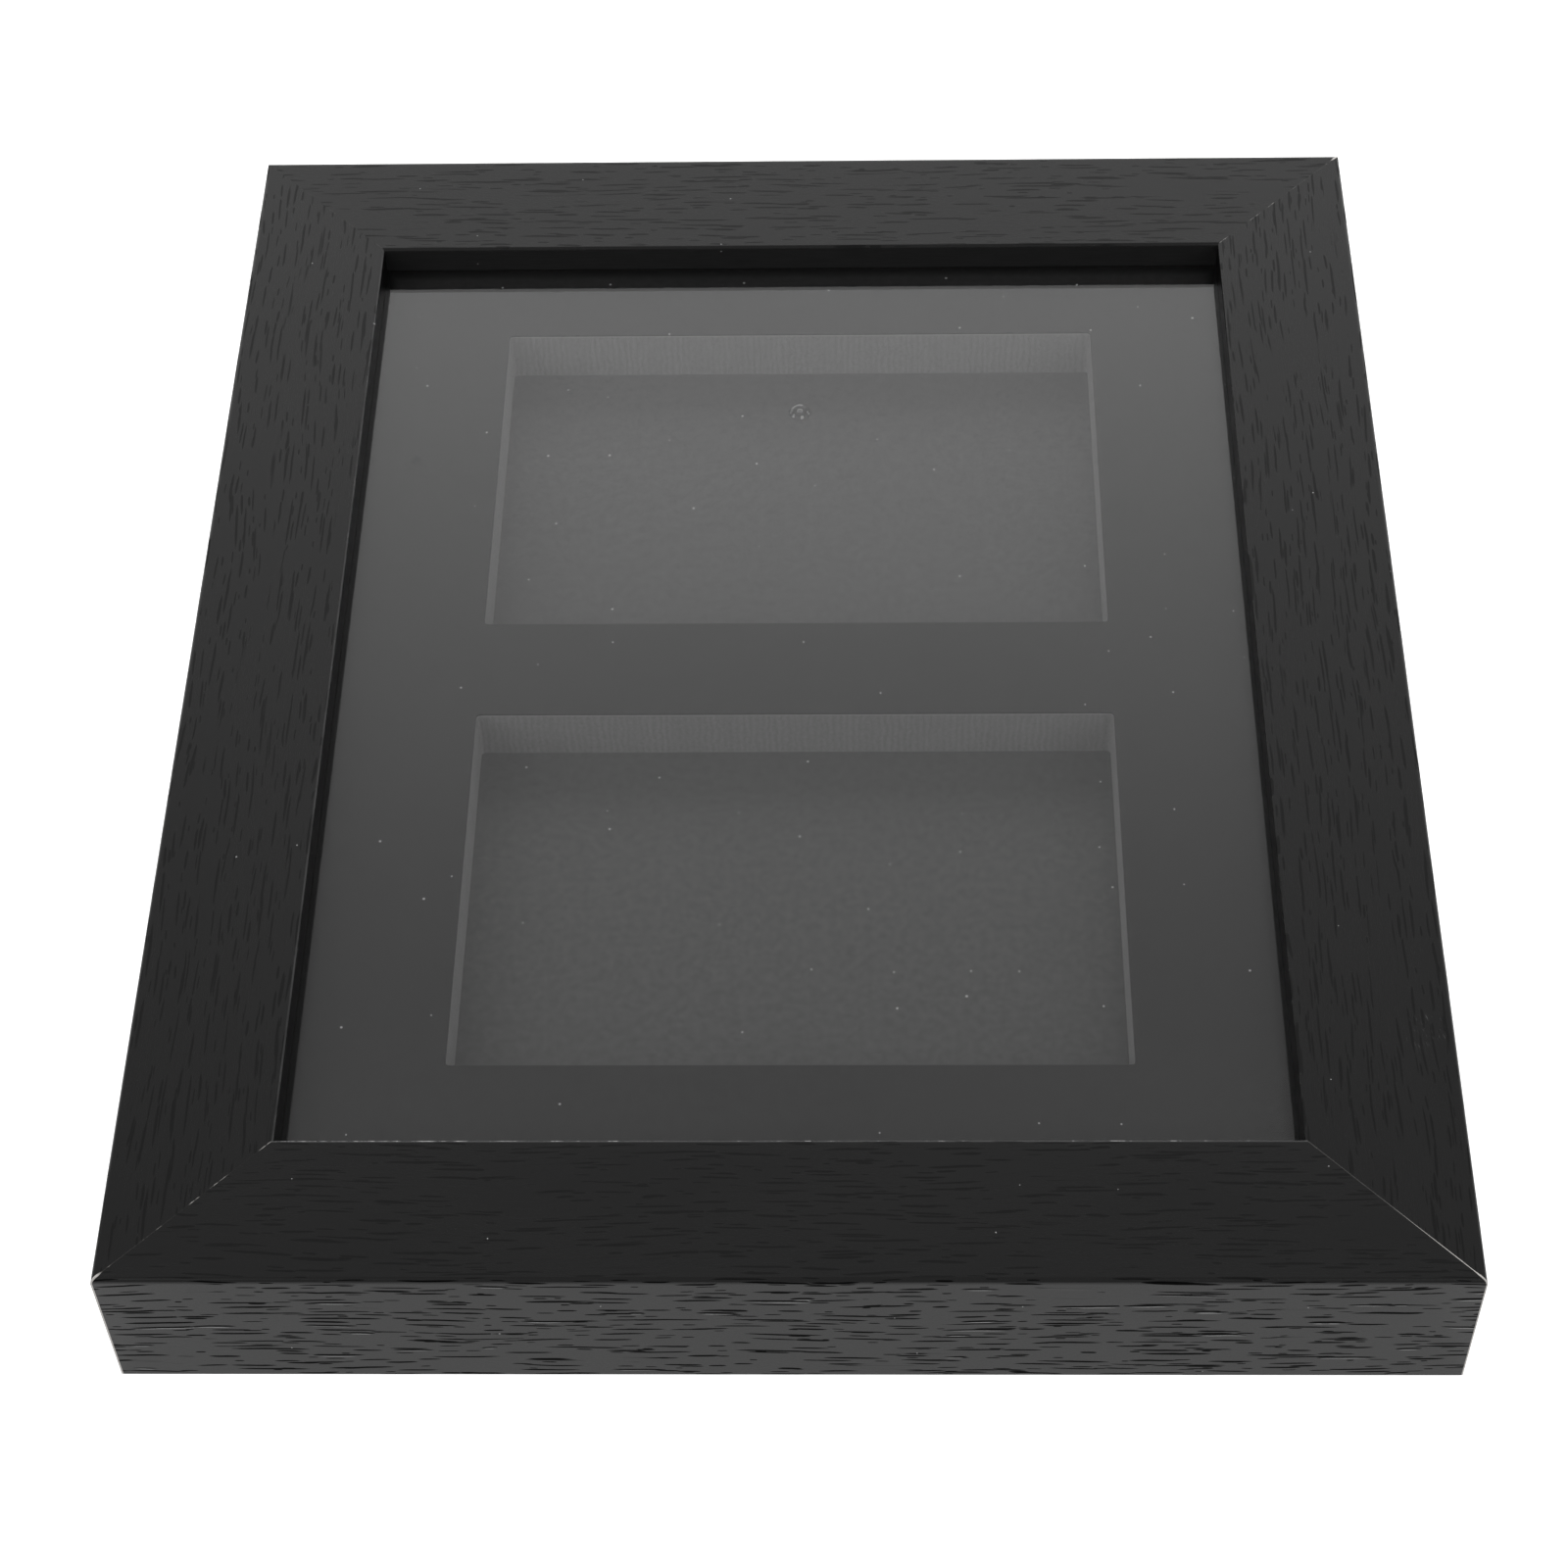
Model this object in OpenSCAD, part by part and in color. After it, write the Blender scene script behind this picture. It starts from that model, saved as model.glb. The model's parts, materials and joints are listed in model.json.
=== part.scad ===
// Shadow box: a deep mitred frame with a clear front, a thick black mat cut with two
// windows, and a rigid back that bendable steel tabs hold in the frame's rebate.
// X runs across the frame, Y up the frame and Z from the wall side to the viewer.
// The origin is the middle of the plane that the backs of the rails rest on.

/* [Frame] */
// Width over the rails
frame_w = 254; // [230:1:320]
// Height over the rails
frame_h = 304.8; // [290:0.1:400]
// Depth from the backs of the rails to their faces
frame_d = 35; // [35:0.5:50]
// Width of a rail's face
rail_w = 30.5; // [28:0.5:38]
// Thickness of the lip in front of the glazing
lip_t = 6.5; // [4:0.5:7]
// How far the lip reaches over the rebate
lip_reach = 5.7; // [4:0.1:8]
// Radius of the front outer edges
front_edge_r = 1; // [0.4:0.1:2]
// Radius of the lip's front edges
lip_edge_r = 0.7; // [0.3:0.1:1.5]
// Radius of the back outer edges
back_edge_r = 0.5; // [0.3:0.1:1]

/* [Layers] */
// Thickness of the clear glazing
glazing_t = 1; // [1:0.1:1.5]
// Air between the glazing and the mat
air_gap = 0.1; // [0.1:0.1:0.3]
// Thickness of the black sheet on the mat's face
mat_face_t = 0.4; // [0.3:0.1:0.8]
// Thickness of the mat's foam core
mat_core_t = 12.4; // [8:0.1:12.7]
// Thickness of the black sheet that lines the back
lining_t = 0.4; // [0.3:0.1:0.8]
// Thickness of the back panel
panel_t = 3; // [2.5:0.1:3.3]
// Gap all round between the layers and the rebate
layer_gap = 0.6; // [0.3:0.1:1.5]

/* [Windows] */
// Width of a window in the mat
window_w = 133; // [80:1:145]
// Height of a window in the mat
window_h = 88; // [50:1:90]
// Height of mat between the two windows
window_gap = 25; // [10:1:30]
// Radius of a window's corners
window_r = 0.8; // [0.5:0.1:6]

/* [Retaining tabs] */
// Width of a tab
tab_w = 6; // [4:0.5:8]
// Thickness of a tab's spring steel
tab_t = 0.4; // [0.3:0.1:0.6]
// Length of tab that stands out of the rail
tab_out = 10; // [7:0.5:10]
// Length of tab that is driven into the rail
tab_in = 7; // [4:0.5:10]
// Distance of a tab from the middle of a top or bottom rail
tab_at_x = 52; // [30:1:70]
// Distance of a tab from the middle of a side rail
tab_at_y = 68; // [30:1:90]

/* [Hanger] */
// Distance of the hanger's rivet below the top edge of the back panel
rivet_drop = 39; // [36:0.5:50]
// Distance of the ring's bar above the rivet
bar_rise = 12.5; // [12.5:0.5:14]
// Diameter of the ring's wire
wire_d = 1.6; // [1.2:0.1:1.6]
// Height of the ring between the middles of its wire
ring_h = 8; // [7:0.1:8]
// Width of the strap
strap_w = 8; // [7.6:0.1:9]
// Thickness of the strap
strap_t = 0.6; // [0.4:0.1:0.6]
// Outside diameter of the rivet's tube
rivet_d = 3.2; // [2.8:0.1:3.6]
// Outside diameter of the rivet's head
rivet_head_d = 6; // [5:0.1:6.4]
// Outside diameter of the rivet's rolled end
rivet_roll_d = 5; // [4.8:0.1:6]

/* [Corner nails] */
// Length of each wing of a V-nail
nail_wing = 6; // [4:0.5:6]
// Thickness of a V-nail
nail_t = 0.6; // [0.4:0.1:0.8]
// Height of a V-nail
nail_h = 10; // [7:0.5:15]
// Distance of the outer nail from the outer sides of the rails
nail_outer_at = 8; // [6:0.5:9]
// Distance of the inner nail from the outer sides of the rails
nail_inner_at = 16.5; // [15:0.5:17]

/* [Hidden] */
$fn = 64;

// The rails are numbered by quarter turns from the bottom one
BOTTOM = 0;
RIGHT = 1;
TOP = 2;
LEFT = 3;

// Overshoot of a cut past the surface that it opens
past = 1;
rail_colour = [0.10, 0.10, 0.10];
steel_colour = [0.72, 0.72, 0.70];

// Heights of the layers' back faces, from the glazing backwards
glazing_z = frame_d - lip_t - glazing_t;
mat_face_z = glazing_z - air_gap - mat_face_t;
mat_core_z = mat_face_z - mat_core_t;
lining_z = mat_core_z - lining_t;
panel_z = lining_z - panel_t;

// Width of the part of a rail behind the lip
leg_w = rail_w - lip_reach;
layer_w = frame_w - 2 * (leg_w + layer_gap);
layer_h = frame_h - 2 * (leg_w + layer_gap);

// Clearance between a tab and what it holds or is bent away from
tab_gap = 0.3;
tab_axis_z = panel_z - tab_gap - tab_t / 2;
tab_axis_from_wall = tab_gap + tab_t / 2;

// Depth of a V-nail's foot below the back of a rail
nail_sunk = 0.2;

// The hanger, from its rivet up to the bar of its ring
rivet_y = layer_h / 2 - rivet_drop;
bar_y = rivet_y + bar_rise;
bar_gap = 0.07;
eye_inner_r = wire_d / 2 + bar_gap;
eye_outer_r = eye_inner_r + strap_t;
// The eye's roll stands this much clear of the plane of the strap's inner face
eye_relief = 0.03;
bar_z = panel_z - eye_outer_r + eye_relief;
ring_corner_r = 1.6;
ring_bow_r = ring_h - ring_corner_r;
bar_half = ring_bow_r - ring_corner_r;
rivet_gap = 0.05;
rivet_wall = 0.45;
rivet_head_t = 1;

// Length of a rail along its outer side
function rail_length(side) = side % 2 == 0 ? frame_w : frame_h;

// Distance of a rail's outer side from the middle of the frame
function side_distance(side) = side % 2 == 0 ? frame_h / 2 : frame_w / 2;

// Distance of a rail's tabs from the middle of the rail
function tab_at(side) = side % 2 == 0 ? tab_at_x : tab_at_y;

// Puts what is drawn for a bottom rail, with its outer side on Y = 0, on any side
module on_side(side) {
    rotate([0, 0, 90 * side])
        translate([0, -side_distance(side), 0])
            children();
}

// The sliver that rounding a square corner at the origin takes away
module corner_sliver(radius) {
    difference() {
        translate([-past, -past])
            square(radius + past);
        translate([radius, radius])
            circle(radius);
        translate([radius, -2 * past])
            square(radius + 2 * past);
        translate([-2 * past, radius])
            square(radius + 2 * past);
    }
}

// Section through a rail: X inwards from its outer side, Y from its back to its face
module rail_section() {
    difference() {
        union() {
            square([leg_w, frame_d]);
            translate([0, frame_d - lip_t])
                square([rail_w, lip_t]);
        }
        corner_sliver(back_edge_r);
        translate([0, frame_d])
            mirror([0, 1])
                corner_sliver(front_edge_r);
        translate([rail_w, frame_d])
            rotate(180)
                corner_sliver(lip_edge_r);
    }
}

// A rail with its outer side on Y = 0, mitred at both ends
module rail_blank(length) {
    intersection() {
        rotate([90, 0, 90])
            linear_extrude(length, center = true)
                rail_section();
        linear_extrude(frame_d)
            polygon([
                [-length / 2, 0],
                [length / 2, 0],
                [length / 2 - rail_w, rail_w],
                [rail_w - length / 2, rail_w]
            ]);
    }
}

// One V-nail, its point on the mitre at the given distance from both outer sides
module v_nail(at, height) {
    translate([at - nail_t / 2, at - nail_t / 2, 0])
        linear_extrude(height)
            union() {
                square([nail_wing, nail_t]);
                square([nail_t, nail_wing]);
            }
}

// The nails of one corner, or the slots that they fill
module corner_nails(x_sign, y_sign, from_z) {
    mirror([x_sign > 0 ? 1 : 0, 0, 0])
        mirror([0, y_sign > 0 ? 1 : 0, 0])
            translate([-frame_w / 2, -frame_h / 2, from_z])
                for (at = [nail_outer_at, nail_inner_at])
                    v_nail(at, nail_sunk + nail_h - from_z);
}

// The shanks of one rail's tabs, driven into the wall of the rebate
module shanks(side) {
    on_side(side)
        for (end = [-1, 1])
            translate([end * tab_at(side) - tab_w / 2, leg_w - tab_in, tab_axis_z - tab_t / 2])
                cube([tab_w, tab_in, tab_t]);
}

// A finished rail, slotted for its corner nails and its tabs
module rail(side) {
    color(rail_colour)
        difference() {
            on_side(side)
                rail_blank(rail_length(side));
            for (x_sign = [-1, 1], y_sign = [-1, 1])
                corner_nails(x_sign, y_sign, -past);
            shanks(side);
        }
}

module v_nails(x_sign, y_sign) {
    color(steel_colour)
        corner_nails(x_sign, y_sign, nail_sunk);
}

module tab_shanks(side) {
    color(steel_colour)
        shanks(side);
}

// The tongue of one tab: a flat blade with a round end, rounded where it bends
module tab(side, end) {
    blade = tab_out - tab_axis_from_wall - tab_w / 2;
    color(steel_colour)
        on_side(side)
            translate([end * tab_at(side), leg_w + tab_axis_from_wall, tab_axis_z]) {
                translate([0, 0, -tab_t / 2])
                    linear_extrude(tab_t)
                        union() {
                            translate([-tab_w / 2, 0])
                                square([tab_w, blade]);
                            translate([0, blade])
                                circle(tab_w / 2);
                        }
                rotate([0, 90, 0])
                    cylinder(h = tab_w, d = tab_t, center = true);
            }
}

// A sheet that fills the rebate, its back face at the given height
module layer(thickness, back_z) {
    translate([-layer_w / 2, -layer_h / 2, back_z])
        cube([layer_w, layer_h, thickness]);
}

// One window of the mat, with round corners
module window_outline() {
    square([window_w, window_h - 2 * window_r], center = true);
    square([window_w - 2 * window_r, window_h], center = true);
    for (x_sign = [-1, 1], y_sign = [-1, 1])
        translate([x_sign * (window_w / 2 - window_r), y_sign * (window_h / 2 - window_r)])
            circle(window_r);
}

// A layer with both windows cut through it
module windowed_layer(thickness, back_z) {
    translate([0, 0, back_z])
        linear_extrude(thickness)
            difference() {
                square([layer_w, layer_h], center = true);
                for (y_sign = [-1, 1])
                    translate([0, y_sign * (window_h + window_gap) / 2])
                        window_outline();
            }
}

module glazing() {
    color([0.85, 0.9, 0.92, 0.3])
        layer(glazing_t, glazing_z);
}

module mat_face_sheet() {
    color([0.13, 0.13, 0.13])
        windowed_layer(mat_face_t, mat_face_z);
}

module mat_core() {
    color([0.2, 0.2, 0.2])
        windowed_layer(mat_core_t, mat_core_z);
}

// The hole that the rivet passes through
module rivet_hole() {
    translate([0, rivet_y, -past])
        cylinder(h = frame_d, d = rivet_d + 2 * rivet_gap);
}

module back_lining() {
    color([0.15, 0.15, 0.15])
        difference() {
            layer(lining_t, lining_z);
            rivet_hole();
        }
}

module back_panel() {
    color([0.45, 0.33, 0.22])
        difference() {
            layer(panel_t, panel_z);
            rivet_hole();
        }
}

// The strap: a plate under the rivet's head, rolled into an eye round the ring's bar
module hanger_strap() {
    plate_end_r = strap_w / 2;
    color(steel_colour)
        difference() {
            union() {
                translate([0, 0, panel_z - strap_t])
                    linear_extrude(strap_t)
                        union() {
                            translate([0, rivet_y])
                                circle(plate_end_r);
                            translate([-strap_w / 2, rivet_y])
                                square([strap_w, bar_rise]);
                        }
                translate([0, bar_y, bar_z])
                    rotate([0, 90, 0])
                        cylinder(h = strap_w, r = eye_outer_r - eye_relief, center = true);
            }
            translate([0, bar_y, bar_z])
                rotate([0, 90, 0])
                    cylinder(h = strap_w + 2 * past, r = eye_inner_r, center = true);
            rivet_hole();
        }
}

// Half of the ring: half its bar, a corner and a quarter of its bow
module ring_half() {
    rotate([0, 90, 0])
        cylinder(h = bar_half, d = wire_d);
    translate([bar_half, 0, -ring_corner_r])
        rotate([90, 0, 0])
            rotate_extrude(angle = 90)
                translate([ring_corner_r, 0])
                    circle(d = wire_d);
    translate([0, 0, -ring_corner_r])
        rotate([90, 0, 0])
            rotate_extrude(angle = -90)
                translate([ring_bow_r, 0])
                    circle(d = wire_d);
}

// The ring hangs from its bar, straight back from the panel
module hanger_ring() {
    color(steel_colour)
        translate([0, bar_y, bar_z])
            union() {
                ring_half();
                mirror([1, 0, 0])
                    ring_half();
            }
}

// A tubular rivet: its head on the strap, its end rolled over on the lining
module hanger_rivet() {
    head_z = panel_z - strap_t;
    tube_r = rivet_d / 2;
    roll_r = (rivet_roll_d / 2 - tube_r + rivet_wall) / 2;
    color(steel_colour)
        translate([0, rivet_y, 0])
            rotate_extrude()
                union() {
                    // the head, with its outer edge rounded
                    translate([0, head_z - rivet_head_t])
                        difference() {
                            square([rivet_head_d / 2, rivet_head_t]);
                            translate([rivet_head_d / 2, 0])
                                mirror([1, 0])
                                    corner_sliver(rivet_head_t * 0.7);
                        }
                    // the tube
                    translate([tube_r - rivet_wall, head_z - rivet_head_t / 2])
                        square([rivet_wall, mat_core_z - head_z + rivet_head_t / 2]);
                    // the rolled end
                    translate([tube_r - rivet_wall + roll_r, mat_core_z])
                        intersection() {
                            circle(roll_r);
                            translate([-roll_r, 0])
                                square(2 * roll_r);
                        }
                }
}

rail(BOTTOM);  // rail_bottom
rail(RIGHT);  // rail_right
rail(TOP);  // rail_top
rail(LEFT);  // rail_left
v_nails(-1, -1);  // v_nails_bottom_left
v_nails(1, -1);  // v_nails_bottom_right
v_nails(1, 1);  // v_nails_top_right
v_nails(-1, 1);  // v_nails_top_left
glazing();
mat_face_sheet();
mat_core();
back_lining();
back_panel();
tab_shanks(BOTTOM);  // tab_shanks_bottom
tab_shanks(RIGHT);  // tab_shanks_right
tab_shanks(TOP);  // tab_shanks_top
tab_shanks(LEFT);  // tab_shanks_left
tab(BOTTOM, -1);  // tab_bottom_left
tab(BOTTOM, 1);  // tab_bottom_right
tab(RIGHT, -1);  // tab_right_lower
tab(RIGHT, 1);  // tab_right_upper
tab(TOP, -1);  // tab_top_right
tab(TOP, 1);  // tab_top_left
tab(LEFT, -1);  // tab_left_upper
tab(LEFT, 1);  // tab_left_lower
hanger_strap();
hanger_ring();
hanger_rivet();
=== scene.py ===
"""The shadow box lying on its back on a white table: materials, small details, light and camera."""

import json
import math
import random

import bmesh
import bpy
from mathutils import Matrix, Vector

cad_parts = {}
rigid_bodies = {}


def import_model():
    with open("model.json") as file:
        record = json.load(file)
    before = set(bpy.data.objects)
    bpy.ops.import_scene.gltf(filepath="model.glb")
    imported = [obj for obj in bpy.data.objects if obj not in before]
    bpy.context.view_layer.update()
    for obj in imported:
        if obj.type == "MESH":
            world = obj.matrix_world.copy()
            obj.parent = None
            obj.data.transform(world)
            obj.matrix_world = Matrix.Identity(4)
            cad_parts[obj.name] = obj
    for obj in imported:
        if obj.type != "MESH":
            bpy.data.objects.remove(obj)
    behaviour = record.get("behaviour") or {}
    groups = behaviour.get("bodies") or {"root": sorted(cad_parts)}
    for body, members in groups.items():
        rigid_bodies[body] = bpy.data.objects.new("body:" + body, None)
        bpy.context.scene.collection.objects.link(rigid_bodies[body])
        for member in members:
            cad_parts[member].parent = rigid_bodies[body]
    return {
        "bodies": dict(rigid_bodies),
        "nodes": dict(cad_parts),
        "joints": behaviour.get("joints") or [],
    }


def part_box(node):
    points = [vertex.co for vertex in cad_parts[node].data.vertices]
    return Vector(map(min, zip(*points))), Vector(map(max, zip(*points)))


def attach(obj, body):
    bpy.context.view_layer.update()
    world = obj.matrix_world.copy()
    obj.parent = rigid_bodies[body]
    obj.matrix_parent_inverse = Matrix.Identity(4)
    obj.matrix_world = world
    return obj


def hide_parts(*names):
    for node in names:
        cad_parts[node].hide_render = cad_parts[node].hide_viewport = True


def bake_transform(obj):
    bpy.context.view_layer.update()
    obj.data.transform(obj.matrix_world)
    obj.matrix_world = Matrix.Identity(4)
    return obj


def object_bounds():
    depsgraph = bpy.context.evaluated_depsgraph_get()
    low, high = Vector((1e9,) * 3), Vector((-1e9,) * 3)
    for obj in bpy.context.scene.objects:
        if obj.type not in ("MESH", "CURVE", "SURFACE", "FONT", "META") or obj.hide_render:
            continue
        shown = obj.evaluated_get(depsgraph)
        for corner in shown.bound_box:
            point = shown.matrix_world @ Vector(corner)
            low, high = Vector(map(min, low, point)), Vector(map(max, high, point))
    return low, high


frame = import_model()
cad_low, cad_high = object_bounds()

MM = 0.001

# Sizes read from the frame, in millimetres
WIDTH = (cad_high.x - cad_low.x) / MM
HEIGHT = (cad_high.y - cad_low.y) / MM
DEPTH = (cad_high.z - cad_low.z) / MM
RAIL_WIDTH = (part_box("rail_bottom")[1].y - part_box("rail_bottom")[0].y) / MM
GLAZING_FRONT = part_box("glazing")[1].z / MM

RAILS = ("rail_bottom", "rail_right", "rail_top", "rail_left")
TABS = [name for name in frame["bodies"] if name.startswith("tab_")]

# The corners at the low and the high end of each rail
RAIL_CORNERS = {
    "rail_bottom": ("bottom_left", "bottom_right"),
    "rail_right": ("bottom_right", "top_right"),
    "rail_top": ("top_left", "top_right"),
    "rail_left": ("bottom_left", "top_left"),
}
# How much the core shows at each mitre: as a steady line, as a broken one, and at the outer tip
CORNER_STEADY = {"bottom_left": 0.1, "bottom_right": 1.0, "top_right": 0.08, "top_left": 0.0}
CORNER_BROKEN = {"bottom_left": 0.7, "bottom_right": 0.3, "top_right": 0.5, "top_left": 0.1}
CORNER_TIP = {"bottom_left": 1.0, "bottom_right": 0.6, "top_right": 1.0, "top_left": 0.0}

# Two marks, in millimetres: a dark spot on the mat and a scuff on the right rail
DARK_SPOT = (-85.0, 61.0)
SCUFF = (122.0, -98.0)
SCUFF_SIZE = 5.0

# Repeats and edges in the materials, in millimetres
FOIL_TURNED_IN = 9.0
SAW_PITCH = 1.7
RIB_PITCH = 1.35
SCREEN_PITCH = 1.6

# The rivet: the direction of the middle of its painted highlight arc, and sizes in millimetres
HIGHLIT_ARC = math.radians(130)
HEAD_HEIGHT = 0.95
TUBE_RADIUS = 1.6
FLANGE_RADIUS = 2.5
RIM_RADIUS = 2.05
BORE_RADIUS = 0.45

# A tab's bend, in millimetres along the tab: the wall is WALL_OFFSET behind the hinge, the sleeve
# starts just inside the wall and stands a little proud, and the bend reaches to both sides of the hinge
WALL_OFFSET = 0.5
SLEEVE_START = -0.1
SLEEVE_LENGTH = 2.1
SLEEVE_PROUD = 0.02
SLEEVE_RINGS = 9


# ---------------------------------------------------------------- camera and light


def place_camera():
    """The photograph's view: from the front and above, turned a little and rolled a little."""
    elevation = math.radians(51.48)
    azimuth = math.radians(-2.2)
    roll = math.radians(1.9)
    distance = 0.689
    target = Vector((-1.7, -37.0, DEPTH)) * MM
    forward = Vector((
        math.sin(azimuth) * math.cos(elevation),
        math.cos(azimuth) * math.cos(elevation),
        -math.sin(elevation),
    ))
    level_right = forward.cross(Vector((0, 0, 1))).normalized()
    level_up = level_right.cross(forward)
    right = level_right * math.cos(roll) - level_up * math.sin(roll)
    up = right.cross(forward)
    camera = bpy.data.objects.new("camera", bpy.data.cameras.new("camera"))
    bpy.context.scene.collection.objects.link(camera)
    camera.data.sensor_width = 36
    camera.data.lens = 78.09
    camera.data.clip_start = 0.01
    turn = Matrix((right, up, -forward)).transposed().to_4x4()
    camera.matrix_world = Matrix.Translation(target - forward * distance) @ turn
    bpy.context.scene.camera = camera


def softbox(name, azimuth, elevation, distance, size, power, mirrored=True):
    """A square lamp aimed at the object's middle; azimuth 0 is the camera's side, 90 the right."""
    lamp = bpy.data.lights.new(name, "AREA")
    lamp.shape = "SQUARE"
    lamp.size = size
    lamp.energy = power
    box = bpy.data.objects.new(name, lamp)
    bpy.context.scene.collection.objects.link(box)
    a = math.radians(azimuth)
    e = math.radians(elevation)
    away = Vector((math.sin(a) * math.cos(e), -math.cos(a) * math.cos(e), math.sin(e)))
    box.location = away * distance
    box.rotation_euler = away.to_track_quat("Z", "Y").to_euler()
    box.visible_glossy = mirrored
    # light reaches what lies behind the glazing straight from the lamp, and only once
    box.visible_transmission = False


def light_studio():
    """A dim room with a bright backdrop behind the object, two softboxes in front and one behind."""
    world = bpy.data.worlds.new("studio")
    bpy.context.scene.world = world
    world.use_nodes = True
    tree = world.node_tree
    tree.nodes.clear()
    where = tree.nodes.new("ShaderNodeTexCoord")
    split = tree.nodes.new("ShaderNodeSeparateXYZ")
    tree.links.new(where.outputs["Generated"], split.inputs[0])
    # the backdrop begins where a direction's Y part is From Min, and is full at From Max
    fade = tree.nodes.new("ShaderNodeMapRange")
    fade.interpolation_type = "SMOOTHSTEP"
    tree.links.new(split.outputs["Y"], fade.inputs["Value"])
    fade.inputs["From Min"].default_value = 0.545
    fade.inputs["From Max"].default_value = 0.85
    fade.inputs["To Min"].default_value = 0.39
    fade.inputs["To Max"].default_value = 1.67
    # the camera itself sees plain white
    seen = tree.nodes.new("ShaderNodeBackground")
    seen.inputs["Color"].default_value = (1, 1, 1, 1)
    room = tree.nodes.new("ShaderNodeBackground")
    tree.links.new(fade.outputs[0], room.inputs["Strength"])
    path = tree.nodes.new("ShaderNodeLightPath")
    mix = tree.nodes.new("ShaderNodeMixShader")
    tree.links.new(path.outputs["Is Camera Ray"], mix.inputs[0])
    tree.links.new(room.outputs[0], mix.inputs[1])
    tree.links.new(seen.outputs[0], mix.inputs[2])
    out = tree.nodes.new("ShaderNodeOutputWorld")
    tree.links.new(mix.outputs[0], out.inputs["Surface"])
    softbox("softbox_left", azimuth=-60, elevation=36, distance=1.3, size=1.0, power=3.7)
    softbox("softbox_right", azimuth=60, elevation=36, distance=1.3, size=1.0, power=4.3)
    softbox("softbox_back", azimuth=180, elevation=38, distance=1.5, size=0.8, power=11.0, mirrored=False)
    bpy.context.scene.view_settings.view_transform = "Standard"


def lay_floor():
    """A plain white table, lit evenly enough to hold no shadow."""
    mesh = bpy.data.meshes.new("table")
    half = 6.0
    corners = [(-half, -half, 0), (half, -half, 0), (half, half, 0), (-half, half, 0)]
    mesh.from_pydata(corners, [], [(0, 1, 2, 3)])
    table = bpy.data.objects.new("table", mesh)
    bpy.context.scene.collection.objects.link(table)
    table.location.z = cad_low.z - 0.2 * MM
    material = bpy.data.materials.new("table_white")
    material.use_nodes = True
    tree = material.node_tree
    shader = tree.nodes["Principled BSDF"]
    shader.inputs["Base Color"].default_value = (0.5, 0.5, 0.5, 1)
    shader.inputs["Roughness"].default_value = 0.9
    shader.inputs["Emission Color"].default_value = (1, 1, 1, 1)
    # it shows as pure white and lights the object a good deal less than that
    glow = tree.nodes.new("ShaderNodeMapRange")
    glow.inputs["To Min"].default_value = 0.5
    glow.inputs["To Max"].default_value = 1.0
    tree.links.new(tree.nodes.new("ShaderNodeLightPath").outputs["Is Camera Ray"], glow.inputs["Value"])
    tree.links.new(glow.outputs[0], shader.inputs["Emission Strength"])
    # the table can be looked through from below, so that the back of the box can be seen
    see_through = tree.nodes.new("ShaderNodeBsdfTransparent")
    sides = tree.nodes.new("ShaderNodeMixShader")
    tree.links.new(tree.nodes.new("ShaderNodeNewGeometry").outputs["Backfacing"], sides.inputs[0])
    tree.links.new(shader.outputs[0], sides.inputs[1])
    tree.links.new(see_through.outputs[0], sides.inputs[2])
    tree.links.new(sides.outputs[0], tree.nodes["Material Output"].inputs["Surface"])
    mesh.materials.append(material)


# ---------------------------------------------------------------- node graphs


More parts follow.
